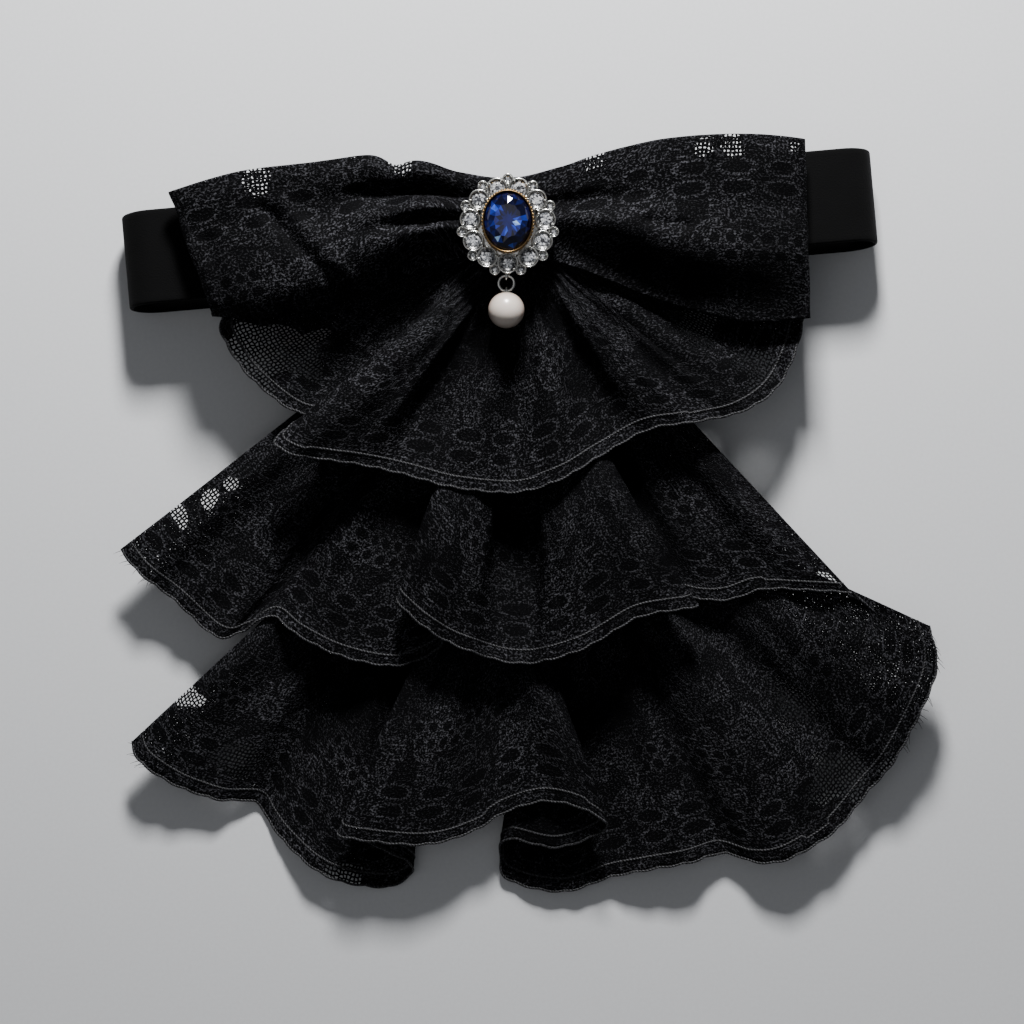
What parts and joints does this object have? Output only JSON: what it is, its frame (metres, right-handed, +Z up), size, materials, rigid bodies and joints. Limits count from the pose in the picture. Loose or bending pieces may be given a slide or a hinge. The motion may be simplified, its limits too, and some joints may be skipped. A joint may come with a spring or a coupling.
{
  "type": "jabot",
  "caption": "Black lace jabot with gathered tiers, a lace bow on a velvet neckband and a blue-stone brooch with a pearl drop, lying flat",
  "frame": {"origin": "Underside of the neckband's back layer, straight below the brooch, on the surface that the jabot lies on", "axes": "+Z up from the surface towards the brooch, +X along the bow to the right in the picture, -Y down the ruffle tiers"},
  "size_m": [0.2625, 0.2427, 0.0415],
  "materials": {
    "velvet": "black velvet ribbon, soft pile",
    "pad": "black hook-and-loop tape",
    "satin": "plain black woven tape",
    "lace": "black machine lace with dense motifs on open net",
    "silver": "polished silver-coloured plating",
    "gold": "polished gold-coloured plating, beaded edge",
    "blue_glass": "faceted sapphire-blue glass",
    "clear_glass": "faceted clear glass",
    "pearl": "white pearl coating"
  },
  "bodies": {
    "root": {"neckband": "velvet", "neckband_fastener": "pad", "placket": "satin", "lower_ruffle": "lace", "middle_ruffle": "lace", "upper_ruffle": "lace", "bow": "lace", "brooch_setting": "silver", "centre_bezel": "gold", "centre_stone": "blue_glass", "jump_ring": "silver", "pearl_eye": "silver", "pearl": "pearl", "clear_stone_01": "clear_glass", "clear_stone_02": "clear_glass", "clear_stone_03": "clear_glass", "clear_stone_04": "clear_glass", "clear_stone_05": "clear_glass", "clear_stone_06": "clear_glass", "clear_stone_07": "clear_glass", "clear_stone_08": "clear_glass", "clear_stone_09": "clear_glass", "clear_stone_10": "clear_glass", "clear_stone_11": "clear_glass", "small_stone_01": "clear_glass", "small_stone_02": "clear_glass", "small_stone_03": "clear_glass", "small_stone_04": "clear_glass", "small_stone_05": "clear_glass", "small_stone_06": "clear_glass", "small_stone_07": "clear_glass", "small_stone_08": "clear_glass", "small_stone_09": "clear_glass", "small_stone_10": "clear_glass", "small_stone_11": "clear_glass"}
  },
  "joints": []
}
